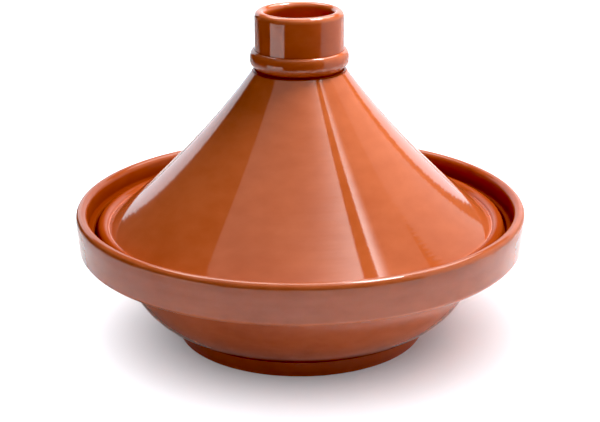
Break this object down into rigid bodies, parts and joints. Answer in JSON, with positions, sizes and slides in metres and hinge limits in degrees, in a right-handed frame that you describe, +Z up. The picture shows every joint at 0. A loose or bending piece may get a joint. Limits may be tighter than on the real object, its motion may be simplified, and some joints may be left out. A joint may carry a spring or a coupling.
{
  "type": "tagine pot",
  "caption": "Footed round earthenware cooking dish with a gallery rim and a lift-off swept cone lid topped by an open cup knob.",
  "frame": {"origin": "centre of the foot ring's underside, on the surface the pot stands on", "axes": "+Z up along the pot's axis of revolution, through the knob; the pot is the same all round, so X and Y are free"},
  "size_m": [0.32, 0.32, 0.236],
  "materials": {
    "dish_glaze": "gloss",
    "foot_glaze": "satin",
    "lid_glaze": "gloss",
    "knob_glaze": "gloss",
    "collar_glaze": "gloss"
  },
  "bodies": {
    "base": {"dish": "dish_glaze", "foot_ring": "foot_glaze"},
    "lid": {"lid_cone": "lid_glaze", "knob_cup": "knob_glaze", "knob_collar": "collar_glaze"}
  },
  "joints": [
    {"name": "lid_lift", "type": "slide", "parent": "base", "child": "lid", "axis": [0, 0, 1], "range_m": [0, 0.2]}
  ]
}
